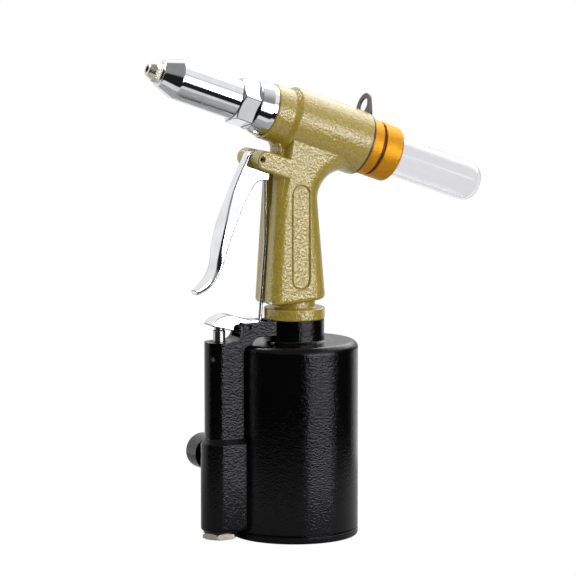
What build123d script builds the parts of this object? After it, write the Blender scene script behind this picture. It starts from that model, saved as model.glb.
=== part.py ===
from build123d import *
import math
import os

# Air-hydraulic blind riveter. Millimetres. The air cylinder stands on Z with its base at the
# origin; the barrel leans over it with the nose towards -X and the collector towards +X.
# Stations along the barrel are counted from where its axis crosses Z, positive to the nose.

# Fits, radial
running = 0.06        # pieces that slide or turn in each other
seated = 0.05         # pieces fixed in each other
loose = 0.3           # pieces that only have to stay clear
past = 1.0            # what a cut runs past the face it opens
edge_round = 0.6      # broken edges

# Layout
tilt = 19.5           # degrees that the barrel rises towards the nose
axis_height = 282.0
stroke = 16.0         # pull of the jaws

# Barrel of the body casting
barrel_r = 22.0
barrel_back = 50.6
shoulder = 6.0        # where the full barrel ends
shoulder_run = 3.2
shoulder_round = 2.0
shoulder_fillet = 1.5
front_ring_r = 19.2
front_face = 22.0
piston_bore_r = 17.4
bore_front = 6.0
gland_r = 13.0        # front counterbore for the rod seal and the adapter
rod_seal_len = 4.0
gland_floor = 10.0

# Grip of the body casting
grip_half = 17.5      # half its thickness
grip_front = 24.0     # reach to the front at the bottom
grip_back = 19.6      # reach to the back at the bottom
grip_brow = 7.0       # station of its front at the trigger pivot's height
grip_root = 19.0      # station where its back would meet the barrel
root_share = 0.61     # of the room under the barrel that the root's curve takes as its radius
root_sink = 1.5       # of the grip's top in the barrel
root_stop = 1.0       # between the root and the barrel's back
front_round = 8.0
back_round = 13.0
foot_round = 2.5
plate_low = 1.7       # stations of the set-back front edge inside the ears
plate_high = 6.6      # and at the barrel's axis
edge_bevel_w = 1.8
web_half = 8.0
web_x = 14.3
web_flare = 4.0
web_root = 4.0        # of the web inside the barrel
collar_r = 20.7
collar_h = 7.5
collar_round = 0.8
foot_gap = 3.3        # from the collar up to the grip's front
foot_rise = 3.0       # of the grip's lower edge towards the back
foot_r = 14.2         # neck between the collar and the grip
foot_root = 6.0       # of that neck inside the grip
foot_fillet = 1.0
recess_r = 6.75
recess_depth = 0.4
recess_groove_w = 0.8  # groove round the recess
recess_groove_d = 1.0
recess_x = 3.0
recess_low = 16.9     # above the grip's bottom
recess_drop = 25.0    # below the trigger pivot

# Trigger, its ears and its rod
ear_drop = 32.8       # trigger pivot below the barrel's axis
ear_tip = 21.8        # station of the trigger pivot
ear_r = 6.6
ear_nose = 3.2        # from the pivot to the ears' round ends
ear_round = 1.4
ear_inset = 0.1       # of the ears' faces from the grip's
slot_half = 5.0
slot_drop = 18.0      # from the rod pin to where the slot begins to narrow
slot_taper = 3.5      # and from there to the rod's channel
slot_edge = 1.0       # of the slot past the ears, above and below their upper line
slot_wall = 5.0       # between the slot and the ram's bore
trigger_half = 4.4    # at the pivot
finger_half = 8.7     # at the finger face
trigger_wall = 1.6
trigger_boss_r = 3.6
trigger_nose = 5.6    # front of the trigger ahead of its pivot
trigger_reach = 42.9  # tip ahead of the pivot
trigger_drop = 87.8   # and below it
trigger_lip = 2.6
trigger_end = 0.5     # left under the tip for its round end
trigger_brow_r = 1.0
trigger_bow = 0.487, 0.403    # points of its front line, in shares of reach and drop
trigger_knee = 0.68, 0.78
trigger_curl = 0.78, 0.912
bow_back = 0.324, 0.46        # and of its back line
knee_back = 0.583, 0.796
curl_back = 0.72, 0.916
trigger_waist = 0.255         # shares of the drop where it begins to widen and has its full width
trigger_palm = 0.53
trigger_sweep = 1.2           # radius of the widening, in shares of its length
hollow_step = 6.0     # of the hollow out through the back, and down
hollow_fall = 2.1
trigger_pin_r = 1.9
pin_recess = 2.0      # of the pins' ends in their holes
horn_x = 10.1         # rod pin behind the trigger pivot
horn_z = -13.0        # and below it
horn_r = 2.3
horn_root = 1.6       # where the horn's underside leaves the trigger, behind the pivot
horn_round = 5.0
rod_pin_r = 1.3
rod_r = 1.25
rod_bend = 2.0        # of the rod towards the grip at its knee
rod_knee = 0.55       # share of the rod below its knee
rod_eye_r = 2.4
channel_half = 3.2
channel_depth = 5.0

# Air cylinder, bottom cap and piston
air_r = 43.4
air_wall = 3.4
air_top = 133.0
air_roof = 7.0
air_shoulder = 5.0
neck_r = 20.4
neck_h = 15.2
neck_fillet = 1.5
cap_flange = 5.0
cap_round = 1.8
cap_groove = 0.7
cap_spigot = 8.5
cap_wall = 5.0
cap_step = 1.2        # depth of the groove above the flange
seal_groove_w = 2.5   # O-ring grooves of the two caps
seal_groove_d = 2.0
seal_groove_at = 3.0
bumper_in = 20.0
bumper_out = 30.0
bumper_draft = 1.0
air_piston_h = 14.0
air_piston_web = 6.0
air_piston_rim = 7.0
air_piston_hub_r = 12.0
air_piston_draft = 2.0
air_piston_rest = 18.0
air_piston_play = 0.4
air_piston_round = 1.0
air_seal_w = 5.0
air_seal_d = 4.0
ram_r = 7.0
ram_nose = 3.0        # of the ram above its seal at rest
ram_bevel = 1.0
ram_stud_r = 5.0
ram_stud = 7.0
piston_nut_af = 17.0
piston_nut_h = 6.5
ram_bore_r = 8.0
gland_nut_r = 11.5
gland_nut_head = 8.0
gland_nut_af = 38.0
gland_reach = 16.0    # of the gland nut into the casting
ram_seal_h = 5.0
oil_room = 3.0        # left over the ram at the top of its stroke
gallery_r = 2.5

# Valve block on the cylinder
valve_out = 12.6      # column's middle outside the cylinder
block_r = 10.0        # upper column
block_low_r = 12.6    # lower column
block_bottom = 6.6
block_round = 2.0
block_root = 0.5      # between the ends of the column's flanks and the cylinder's bore
step_low = 66.0
step_rise = 4.0
block_rise = 2.3      # column above the cylinder's top
valve_bore_r = 6.3
stem_r = 4.2
stem_neck = 0.8
stem_neck_rise = 8.3
stem_nose_r = 2.4
spool_r = 5.8
spool_waist_r = 3.6
spool_len = 10.0
spool_taper = 2.0
spool_gap = 8.0       # from the inlet's middle to the upper land
spool_groove_r = 4.4
spool_groove_w = 2.2
spool_groove_at = 2.0
spool_groove_step = 4.2
spool_bottom = 31.0
guide_h = 15.0
guide_sink = 0.4
guide_screw_r = 1.5
guide_screw_drop = 11.0
guide_screw_turn = 220.0
plug_af = 21.6
plug_hex = 4.2
plug_spigot = 7.5
plug_seal_t = 1.0
valve_spring_in = 3.4
valve_spring_out = 5.4
port_r = 3.0
port_z = 22.0
inlet_z = 57.2
inlet_r = 12.0
inlet_end = 29.5
inlet_spigot_r = 6.6
inlet_spigot = 4.5
inlet_round = 1.5
inlet_thread_r = 5.72
inlet_depth = 12.0
inlet_bore_r = 4.0

# Valve lever and its bracket
bracket_wall = 3.0
bracket_rise = 15.0   # above the cylinder's top
bracket_gap = 5.0     # under the bracket's arms
bracket_nose = 4.4    # ahead of the lever's pivot
bracket_round = 6.5
lever_back = 17.7     # pivot behind the column's middle
lever_rise = 11.5
lever_wall = 1.2
lever_gap = 0.6
lever_pin_r = 1.6
lever_lug_r = 3.4
hood_reach = 8.2      # tip of the hood ahead of the stem
hood_crest = 3.5      # crest of the hood behind the stem
hood_rise = 8.8       # and above the pivot
hood_mouth = 2.9      # tip of the hood above the pivot
hood_slope = 0.8      # share of the rise where the hood runs into the strap
hood_bevel = 1.0      # at the hood's tip
hood_arch = 2.0       # from the lugs to the arch in the hood's flank
hood_fall = 0.9       # of the hood from its crest to the stem's edge
hood_drop = 1.9       # its low corner below the pivot
hood_heel = 9.2       # that corner ahead of the pivot
link_out = 5.6        # rod's lower pin ahead of the neck
link_rise = 12.0
link_lug_r = 2.8
link_play = 0.35

# Nose
flange_r = 18.4
flange_len = 12.5
flange_rim = 3.5
flange_round = 3.0
flange_lip = 0.2      # of the flange's front past the hexagon's corners
flange_edge = 0.4
hex_af = 28.5
hex_len = 13.0
hex_turn = 13.5       # degrees, a corner above the near side
tube_r = 13.7
tube_len = 45.0
cone_len = 12.5
cone_tip_r = 9.0
cone_round = 1.5
cone_tip_round = 1.0
nose_bore_r = 10.5
nose_wall = 13.0      # solid front of the nose housing
nosepiece_af = 12.0
nosepiece_hex = 4.5
nosepiece_turn = 24.0
nosepiece_dome = 4.6
dome_round = 2.0
tip_round = 1.5
nosepiece_thread_r = 5.0
nosepiece_tail_r = 3.6
nosepiece_tail = 4.0
nosepiece_rim = 2.0
nose_thread_wall = 1.5
mandrel_r = 2.3

# Pull piston, jaw case and jaws
oil_gap = 7.0
pull_len = 14.0
pull_round = 0.8
pull_rod_r = 8.5
tail_r = 6.5
tail_end = 62.0
piston_groove_w = 3.0
piston_groove_d = 2.5
piston_groove_at = 2.5
passage_r = 3.2
spring_pocket = 8.0
spring_play = 2.0
case_len = 45.5
case_thread = 12.0
case_gap = 0.5
case_bevel = 1.0
pull_room = 1.0       # left behind the jaw case at the end of the pull
case_mouth_r = 4.4
cone_run = 17.5
jaw_angle = 10.0
jaw_len = 13.0
jaw_open = 3.0        # how far the open jaws sit back from the closed ones
jaw_bore_r = 2.0
jaw_gap = 0.6
pusher_r = 6.4
pusher_len = 12.0
pusher_cone = 2.5

# Rear end and collector
hanger_t = 1.5
hanger_turn = 20.0    # degrees round the barrel, away from the near side
hanger_eye_r = 5.3
hanger_eye = 28.0
hanger_rim_r = 8.7
hanger_base = 24.0
hanger_inset = 0.5
cap_len = 8.5
cap_r = 19.3
cap_inner = 10.4      # reach of the end cap into the barrel
cap_chamfer = 1.2
boss_r = 15.0
boss_len = 10.1
boss_wall = 4.0
boss_floor = 2.0
collar_seal_w = 2.1
collar_seal_sink = 1.3
union_len = 14.0
union_wall = 3.5
union_round = 2.2
bottle_r = 13.5
bottle_wall = 1.6
bottle_len = 70.0
bottle_round = 9.0
bottle_lip = 2.0

# Oil filling screw
oil_screw_r = 2.5
oil_head_r = 4.4
oil_head_h = 3.0
oil_socket = 1.5      # half across its flats
oil_socket_depth = 2.0
oil_seat_r = 6.0
oil_seat_depth = 1.6
oil_washer_r = 5.0
oil_washer_t = 1.0

# Worked out from the above
lean = math.radians(tilt)
barrel = Plane((0, 0, axis_height), x_dir=(0, -1, 0), z_dir=(-math.cos(lean), 0, math.sin(lean)))
hex_back = front_face + flange_len
tube_back = hex_back + hex_len
cone_base = tube_back + tube_len
cone_tip = cone_base + cone_len
wall_back = cone_tip - nose_wall
case_front = wall_back - case_gap
case_back = case_front - case_len
rod_front = case_back + case_thread
jaw_slope = math.tan(math.radians(jaw_angle))
chamber_r = case_mouth_r + cone_run * jaw_slope
jaw_front = wall_back - nosepiece_tail - loose
pusher_front = jaw_front - jaw_len - loose
pull_front = bore_front - oil_gap
pull_back = pull_front - pull_len
hanger_back = -barrel_back - hanger_t
cap_end = hanger_back - cap_len
boss_end = cap_end - boss_len
union_front = cap_end - collar_seal_w
union_back = union_front - union_len
bottle_end = union_back - bottle_len
neck_top = air_top + neck_h
cylinder_bottom = cap_flange + cap_groove
roof_under = air_top - air_roof
air_bore_r = air_r - air_wall
grip_bottom = neck_top + collar_h + foot_gap
gland_top = neck_top + gland_reach
ram_top = gland_top + ram_seal_h + ram_nose
ram_shoulder = air_piston_rest + air_piston_h
ram_stroke = stroke * (piston_bore_r**2 - pull_rod_r**2) / ram_r**2
ram_bore_top = ram_top + ram_stroke + oil_room
valve_x = air_r + valve_out
step_high = step_low + step_rise
block_top = air_top + block_rise
plug_top = block_bottom - plug_seal_t
bracket_top = air_top + bracket_rise
lever_x = valve_x - lever_back
bracket_front = lever_x + bracket_nose
bracket_inner = block_r - bracket_wall
lever_z = air_top + lever_rise
lever_half = bracket_inner - lever_gap
link_x = neck_r + link_out
link_z = air_top + link_rise
stem_top = lever_z + hood_rise - hood_fall - lever_wall - loose


def spot(along, above):
    """(X, Z) of the point so far along the barrel's axis and so far above it."""
    x = -along * math.cos(lean) + above * math.sin(lean)
    z = axis_height + along * math.sin(lean) + above * math.cos(lean)
    return x, z


trigger_x, trigger_z = spot(ear_tip, -ear_drop)
horn = (trigger_x + horn_x, trigger_z + horn_z)
slot_bottom = horn[1] - slot_drop


def turned(corners, rounds=()):
    """Solid turned about Z from (radius, height) corners; rounds pairs a corner's number with a radius."""
    face = Polygon(*corners)
    for corner, radius in rounds:
        face = fillet(face.vertices().sort_by_distance((*corners[corner], 0))[0], radius)
    return revolve(Plane.XZ * face, Axis.Z)


def ring(inner, outer, low, high):
    """Plain ring about Z."""
    return turned([(inner, low), (outer, low), (outer, high), (inner, high)])


def rod(radius, low, high):
    """Plain round bar about Z."""
    return Pos(0, 0, low) * extrude(Circle(radius), high - low)


def crossbar(radius, x, z, low, high):
    """Round bar along Y at (x, z)."""
    return Pos(x, 0, z) * Rot(-90, 0, 0) * rod(radius, low, high)


def plate(outline, half):
    """Outline in the X-Z plane, extruded to both sides of the middle."""
    return extrude(Plane.XZ * outline, half, both=True)


def disc_at(point, radius):
    """Round outline centred on a point of the X-Z plane."""
    return Pos(*point) * Circle(radius)


def hexagon(across, low, high):
    """Hexagon bar about Z with its corners turned off at both ends."""
    corner = across / math.sqrt(3)
    bevel = (corner - across / 2) * math.tan(math.radians(30))
    blank = turned([(0, low), (across / 2, low), (corner, low + bevel), (corner, high - bevel),
                    (across / 2, high), (0, high)])
    bar = Pos(0, 0, low) * extrude(RegularPolygon(across / 2, 6, major_radius=False), high - low)
    return bar & blank


def between(first, second):
    """Point halfway between two points of the X-Z plane."""
    return (first[0] + second[0]) / 2, (first[1] + second[1]) / 2


def edges_near(shape, places, half):
    """Long edges on the two flat sides of a plate, picked by a point close to each."""
    found = []
    for x, z in places:
        for side in (-half, half):
            found.append(shape.edges().sort_by_distance((x, side, z))[0])
    return found


def front_line():
    """Lower and upper end of the grip's set-back front edge, inside the ears and the barrel."""
    return spot(plate_low, ear_r / 2 - ear_drop), spot(plate_high, 0)


def edge_bevel(side):
    """Bevel on the set-back front edge of the grip."""
    low, high = front_line()
    way = Vector(high[0] - low[0], 0, high[1] - low[1])
    start = Vector(low[0], 0, low[1])
    corner = side * (grip_half + past)
    inner = side * (grip_half - edge_bevel_w - past)
    wedge = Polygon((corner, past), (inner, past), (corner, -edge_bevel_w - past))
    return Plane(start, x_dir=(0, 1, 0), z_dir=way) * extrude(wedge, way.length)


def grip():
    """Flat-sided grip: leaning front, swept root under the barrel, rounded corners."""
    under = root_sink - barrel_r
    root_end = root_stop - barrel_back
    toe = (-grip_front, grip_bottom)
    heel = (grip_back, grip_bottom + foot_rise)
    brow = spot(grip_brow, -ear_drop)
    root = spot(-grip_root, under)
    outline = Polygon(toe, brow, *front_line(), spot(root_end, 0), spot(root_end, under), root, heel)
    outline = fillet(outline.vertices().sort_by_distance((*root, 0))[0], root_share * (-root_end - grip_root))
    block = plate(outline, grip_half)
    arc = outline.edges().filter_by(GeomType.CIRCLE)[0] @ 0.5
    far_back = spot(root_end + root_stop / 2, under)
    block = fillet(edges_near(block, [between(root, heel), (arc.X, arc.Y), far_back], grip_half), back_round)
    block = fillet(edges_near(block, [between(toe, brow)], grip_half), front_round)
    block = fillet(block.faces().sort_by(Axis.Z)[0].edges(), foot_round)
    return block - edge_bevel(-1) - edge_bevel(1)


def ears():
    """Rounded bar across the grip that the trigger slot splits into two ears."""
    outline = make_hull(disc_at(spot(ear_tip + ear_nose - ear_r, -ear_drop), ear_r).edges()
                        + disc_at(spot(-ear_r, -ear_drop), ear_r).edges())
    bar = plate(outline, grip_half - ear_inset)
    rims = bar.faces().sort_by(Axis.Y)[0].edges() + bar.faces().sort_by(Axis.Y)[-1].edges()
    return fillet(rims, ear_round)


def web():
    """Narrow web under the barrel in front of the grip."""
    low = spot(0, -ear_drop)
    high = spot(0, web_root - barrel_r)
    root = spot(plate_high + web_flare, web_root - barrel_r)
    return plate(Polygon(low, (-web_x, low[1]), (-web_x, root[1] - web_flare), root, high), web_half)


def level_with(x, above):
    """(X, Z) of the point at x that lies so far above the barrel's axis."""
    return spot((above * math.sin(lean) - x) / math.cos(lean), above)


def trigger_slot():
    """Room for the trigger between the ears and for its rod down the grip's front."""
    ceiling = ear_r - ear_drop - slot_edge
    open_top = ear_r - ear_drop + slot_edge
    slot_back = -ram_bore_r - slot_wall
    front = -grip_front - trigger_reach
    slot = Polygon((front, slot_bottom), (slot_back, slot_bottom), level_with(slot_back, ceiling),
                   level_with(-web_x - loose, ceiling), level_with(-web_x - loose, open_top),
                   level_with(front, open_top))
    top_x, top_z = spot(grip_brow, -ear_drop)
    lean_x = (top_x + grip_front) / (top_z - grip_bottom)
    low = -grip_front + channel_depth
    start, end = neck_top - past, slot_bottom + past
    floor = low + (end - grip_bottom) * lean_x
    foot = low + (start - grip_bottom) * lean_x
    channel = Polygon((front, start), (foot, start), (floor, end), (front, end))
    taper_low = slot_bottom - slot_taper
    taper = Polygon((-slot_half, slot_bottom), (-channel_half, taper_low), (channel_half, taper_low),
                    (slot_half, slot_bottom))
    narrowing = extrude(Plane.YZ.offset(front) * taper, floor - front)
    return plate(slot, slot_half) + plate(channel, channel_half) + narrowing


def oil_gallery():
    """Drilling from the ram's bore up to the front of the pull piston's bore."""
    x, z = spot(bore_front - oil_gap / 2, gallery_r - piston_bore_r)
    start = Vector(0, 0, ram_bore_top - oil_room)
    way = Vector(x, 0, z) - start
    return Plane(start, z_dir=way) * extrude(Circle(gallery_r), way.length)


def barrel_bores():
    """Everything bored along the barrel's axis."""
    return (rod(piston_bore_r, -barrel_back - past, bore_front)
            + rod(pull_rod_r + running, bore_front - past, gland_floor + past)
            + rod(gland_r, gland_floor, front_face + past))


def side_recess(side):
    """Shallow long panel let into one side of the grip."""
    top, low = trigger_z - recess_drop, grip_bottom + recess_low
    place = Pos(-recess_x, (top + low) / 2)
    outline = place * SlotCenterToCenter(top - low, 2 * recess_r, rotation=90)
    groove = outline - place * SlotCenterToCenter(top - low, 2 * (recess_r - recess_groove_w), rotation=90)
    panel = extrude(Plane.XZ.offset(-side * (grip_half - recess_depth)) * outline, -side * 2 * recess_depth)
    floor = Plane.XZ.offset(-side * (grip_half - recess_groove_d))
    return panel + extrude(floor * groove, -side * 2 * recess_groove_d)


def body_casting():
    """Barrel, grip and trigger ears in one casting."""
    tube = turned([(0, -barrel_back), (barrel_r, -barrel_back), (barrel_r, shoulder),
                   (front_ring_r, shoulder + shoulder_run), (front_ring_r, front_face), (0, front_face)],
                  [(1, edge_round), (2, shoulder_round), (3, shoulder_fillet), (4, edge_round)])
    collar_top = neck_top + collar_h
    foot = turned([(0, neck_top), (collar_r, neck_top), (collar_r, collar_top), (foot_r, collar_top),
                   (foot_r, grip_bottom + foot_root), (0, grip_bottom + foot_root)],
                  [(1, edge_round), (2, collar_round), (3, foot_fillet)])
    body = barrel * tube + grip() + ears() + web() + foot
    body -= trigger_slot()
    body -= barrel * barrel_bores()
    body -= rod(gland_nut_r + seated, neck_top - past, gland_top + ram_seal_h + seated)
    body -= rod(ram_bore_r, gland_top, ram_bore_top)
    body -= oil_gallery()
    body -= crossbar(trigger_pin_r + seated, trigger_x, trigger_z, -2 * grip_half, 2 * grip_half)
    body -= oil_screw_seat()
    for side in (-1, 1):
        body -= side_recess(side)
    return body


def oil_screw_place():
    """Middle of the oil filling screw, on the far side in front of the pull piston."""
    return spot(bore_front - oil_gap / 2, 0)


def oil_screw_seat():
    """Tapped hole and spot face for the oil filling screw."""
    x, z = oil_screw_place()
    seat = barrel_r - oil_seat_depth
    return (crossbar(oil_screw_r + seated, x, z, piston_bore_r - oil_gap, seat + past)
            + crossbar(oil_seat_r, x, z, seat, barrel_r + past))


def oil_screw():
    """Socket-head screw that closes the oil filling hole."""
    x, z = oil_screw_place()
    head = barrel_r - oil_seat_depth + oil_washer_t
    screw = crossbar(oil_screw_r, x, z, piston_bore_r + loose, head)
    screw += crossbar(oil_head_r, x, z, head, head + oil_head_h)
    socket = extrude(RegularPolygon(oil_socket, 6, major_radius=False), oil_head_h)
    return screw - Pos(x, head + oil_head_h - oil_socket_depth, z) * Rot(-90, 0, 0) * socket


def oil_screw_washer():
    """Sealing washer under the oil filling screw."""
    x, z = oil_screw_place()
    seat = barrel_r - oil_seat_depth
    washer = crossbar(oil_washer_r, x, z, seat, seat + oil_washer_t)
    return washer - crossbar(oil_screw_r + seated, x, z, seat - past, seat + oil_washer_t + past)


def hex_adapter():
    """Flanged hexagon that screws into the casting and carries the nose housing."""
    flange = turned([(0, front_face), (flange_r, front_face), (flange_r, front_face + flange_rim),
                     (hex_af / math.sqrt(3) + flange_lip, hex_back), (0, hex_back)],
                    [(1, edge_round), (2, flange_round), (3, flange_edge)])
    spigot = rod(gland_r - seated, gland_floor + rod_seal_len, front_face)
    body = flange + spigot + Rot(0, 0, hex_turn) * hexagon(hex_af, hex_back - flange_rim, tube_back)
    body -= rod(pull_rod_r + loose, 0, tube_back + past)
    body -= rod(nose_bore_r, case_back - stroke - pull_room, tube_back + past)
    return body - rod(tube_r - nose_thread_wall, hex_back, tube_back + past)


def nose_housing():
    """Straight tube with a coned front, screwed into the hexagon."""
    thread_r = tube_r - nose_thread_wall - seated
    start = hex_back + seated
    body = turned([(0, start), (thread_r, start), (thread_r, tube_back), (tube_r, tube_back),
                   (tube_r, cone_base), (cone_tip_r, cone_tip), (0, cone_tip)],
                  [(4, cone_round), (5, cone_tip_round)])
    body -= rod(nose_bore_r, hex_back, wall_back)
    return body - rod(nosepiece_thread_r + seated, wall_back - past, cone_tip + past)


def nosepiece():
    """Domed hexagon tip; its tail holds the jaws open at rest."""
    top = cone_tip + nosepiece_hex
    tip = top + nosepiece_dome
    tail = wall_back - nosepiece_tail
    dome = turned([(0, top - past), (nosepiece_af / 2, top - past), (nosepiece_af / 2, top),
                   (mandrel_r + nosepiece_rim, tip), (0, tip)],
                  [(2, dome_round), (3, tip_round)])
    shank = turned([(0, tail), (nosepiece_tail_r, tail), (nosepiece_tail_r, wall_back),
                    (nosepiece_thread_r, wall_back + nosepiece_thread_r - nosepiece_tail_r),
                    (nosepiece_thread_r, cone_tip), (0, cone_tip)])
    body = Rot(0, 0, nosepiece_turn) * hexagon(nosepiece_af, cone_tip, top) + dome + shank
    return body - rod(mandrel_r, 0, tip + past)


def rod_seal():
    """Lip seal round the pull rod at the front of the oil space."""
    return ring(pull_rod_r + running, gland_r - seated, gland_floor, gland_floor + rod_seal_len)


def pull_piston():
    """Hollow piston with the pull rod in front and the mandrel tube behind."""
    piston_r = piston_bore_r - running
    body = turned([(0, -tail_end), (tail_r, -tail_end), (tail_r, pull_back), (piston_r, pull_back),
                   (piston_r, pull_front), (pull_rod_r, pull_front), (pull_rod_r, rod_front), (0, rod_front)],
                  [(3, pull_round), (4, pull_round)])
    for low in seal_grooves():
        body -= ring(piston_bore_r - piston_groove_d, piston_bore_r + past, low, low + piston_groove_w)
    body -= rod(passage_r, -tail_end - past, rod_front + past)
    return body - rod(pusher_r - loose, rod_front - spring_pocket, rod_front + past)


def seal_grooves():
    """Stations of the two seal grooves on the pull piston."""
    return pull_back + piston_groove_at, pull_front - piston_groove_at - piston_groove_w


def pull_piston_seals():
    """The two seal rings of the pull piston."""
    inner = piston_bore_r - piston_groove_d + seated
    return [ring(inner, piston_bore_r - running, low + seated, low + piston_groove_w - seated)
            for low in seal_grooves()]


def return_spring():
    """Space of the spring that pushes the pull piston forward again."""
    return ring(tail_r + spring_play, piston_bore_r - spring_play, hanger_back + cap_inner, pull_back)


def jaw_case():
    """Sleeve on the pull rod whose coned front closes the jaws."""
    cone_back = case_front - cone_run
    case_r = nose_bore_r - loose
    body = turned([(0, case_back), (case_r, case_back), (case_r, case_front - case_bevel),
                   (case_r - case_bevel, case_front), (0, case_front)])
    body -= rod(pull_rod_r + seated, case_back - past, rod_front)
    body -= turned([(0, rod_front - past), (chamber_r, rod_front - past), (chamber_r, cone_back),
                    (case_mouth_r, case_front), (case_mouth_r, case_front + past), (0, case_front + past)])
    return body


def jaw(number):
    """One of three coned jaw segments, drawn back and out along the cone as it stands when open."""
    front = jaw_front + jaw_open * math.cos(math.radians(jaw_angle))
    back = front - jaw_len
    front_r = case_mouth_r + (case_front - front) * jaw_slope - running
    back_r = case_mouth_r + (case_front - back) * jaw_slope - running
    cone = turned([(0, back), (back_r, back), (front_r, front), (0, front)])
    reach = 2 * back_r
    spread = reach * math.tan(math.radians(60))
    wedge = extrude(Polygon((0, 0), (reach, -spread), (reach, spread)), 2 * back)
    gap = jaw_gap / 2 / math.sin(math.radians(60))
    body = (cone & Pos(gap, 0, 0) * wedge) - rod(jaw_bore_r, back - past, front + past)
    out = jaw_open * math.sin(math.radians(jaw_angle))
    rest = Pos(out, 0, jaw_front - front)
    return Rot(0, 0, 90 + 120 * number) * rest * body


def jaw_pusher():
    """Sleeve that holds the jaws forward in the case."""
    back = pusher_front - pusher_len
    body = turned([(0, back), (pusher_r, back), (pusher_r, pusher_front - pusher_cone),
                   (pusher_r - pusher_cone, pusher_front), (0, pusher_front)])
    return body - rod(passage_r, back - past, pusher_front + past)


def jaw_spring():
    """Space of the spring behind the jaw pusher."""
    return ring(passage_r + loose, pusher_r - 2 * loose, rod_front - spring_pocket, pusher_front - pusher_len)


def hanger():
    """Flat ring clamped behind the barrel with an eye to hang the tool by."""
    eye = Pos(0, hanger_eye) * Circle(hanger_rim_r)
    base = Pos(0, piston_bore_r) * Rectangle(hanger_base, barrel_r - piston_bore_r)
    outline = Circle(barrel_r - hanger_inset) + make_hull(eye.edges() + base.edges())
    outline -= Circle(piston_bore_r)
    outline -= Pos(0, hanger_eye) * Circle(hanger_eye_r)
    body = extrude(Rot(0, 0, hanger_turn) * outline, hanger_t)
    return Pos(0, 0, hanger_back) * body


def end_cap():
    """Rear cap that screws into the barrel, clamps the hanger and carries the collector."""
    body = turned([(0, boss_end), (boss_r, boss_end), (boss_r, cap_end), (cap_r, cap_end),
                   (cap_r, hanger_back - cap_chamfer), (cap_r - cap_chamfer, hanger_back),
                   (piston_bore_r - seated, hanger_back), (piston_bore_r - seated, hanger_back + cap_inner),
                   (0, hanger_back + cap_inner)], [(1, edge_round), (3, edge_round), (4, edge_round)])
    low = hanger_back + hanger_t + seal_groove_at
    body -= ring(piston_bore_r - seal_groove_d, piston_bore_r + past, low, low + seal_groove_w)
    body -= rod(tail_r + running, boss_end - past, hanger_back + cap_inner + past)
    return body - rod(boss_r - boss_wall, boss_end - past, cap_end + boss_floor)


def end_cap_seal():
    """O-ring between the end cap and the barrel."""
    low = hanger_back + hanger_t + seal_groove_at
    return ring(piston_bore_r - seal_groove_d + seated, piston_bore_r - seated / 2, low + seated,
                low + seal_groove_w - seated)


def collar_seal():
    """Ring that shows between the end cap and the collector's collar."""
    return ring(boss_r + seated, cap_r - collar_seal_sink, union_front + running, cap_end)


def collector_collar():
    """Knurled union nut that holds the bottle to the end cap."""
    body = turned([(0, union_back), (cap_r, union_back), (cap_r, union_front), (0, union_front)],
                  [(1, union_round), (2, edge_round)])
    body -= rod(boss_r + running, union_back + union_wall, union_front + past)
    return body - rod(bottle_r + seated, union_back - past, union_front)


def bottle_seal():
    """Flat washer between the bottle's lip and the end cap's boss."""
    return ring(bottle_r - bottle_wall, boss_r - loose, lip_top(), boss_end - running)


def lip_top():
    """Station of the bottle's open end."""
    return union_back + union_wall + bottle_lip


def collector_bottle():
    """Clear bottle that catches the broken mandrels."""
    top = lip_top()
    inner = bottle_r - bottle_wall
    body = turned([(0, bottle_end), (bottle_r, bottle_end), (bottle_r, top - bottle_lip),
                   (boss_r - loose, top - bottle_lip), (boss_r - loose, top), (0, top)], [(1, bottle_round)])
    hollow = turned([(0, bottle_end + bottle_wall), (inner, bottle_end + bottle_wall), (inner, top + past),
                     (0, top + past)], [(1, bottle_round - bottle_wall)])
    return body - hollow


def block_section(radius, height):
    """Half-round column with flat flanks that run back into the cylinder's wall."""
    flank_back = air_bore_r + block_root
    flank = Pos(-(valve_x + flank_back) / 2, 0) * Rectangle(valve_x - flank_back, 2 * radius)
    return Pos(0, 0, height) * (Pos(-valve_x, 0) * Circle(radius) + flank)


def valve_block():
    """Valve column on the cylinder's front, wider below the inlet."""
    low = extrude(block_section(block_low_r, block_bottom), step_low - block_bottom)
    step = loft([block_section(block_low_r, step_low), block_section(block_r, step_high)])
    top = extrude(block_section(block_r, step_high), block_top - step_high)
    rim = low.faces().sort_by(Axis.Z)[0].edges().sort_by(Axis.X)[:-1]
    return fillet(rim, block_round) + step + top


def bracket():
    """Two arms from the valve block to the neck that carry the lever."""
    under = air_top + bracket_gap
    back_x = neck_r - 2 * bracket_wall
    arm_x = bracket_front - bracket_round
    foot_x = valve_x - valve_bore_r
    foot_z = block_top - block_r
    corners = [(-bracket_front, bracket_top), (-back_x, bracket_top), (-back_x, under), (-arm_x, under),
               (-arm_x, foot_z), (-foot_x, foot_z), (-foot_x, block_top), (-bracket_front, block_top)]
    outline = Polygon(*corners)
    for corner, radius in ((0, bracket_round / 4), (3, bracket_round), (7, bracket_round)):
        outline = fillet(outline.vertices().sort_by_distance((*corners[corner], 0))[0], radius)
    over = bracket_top + past
    arms = plate(outline, block_r)
    for front, low in ((valve_x, under), (arm_x, air_top)):
        arms -= plate(Polygon((-front, low), (-neck_r, low), (-neck_r, over), (-front, over)), bracket_inner)
    return arms - rod(collar_r + loose, neck_top, over)


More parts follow.
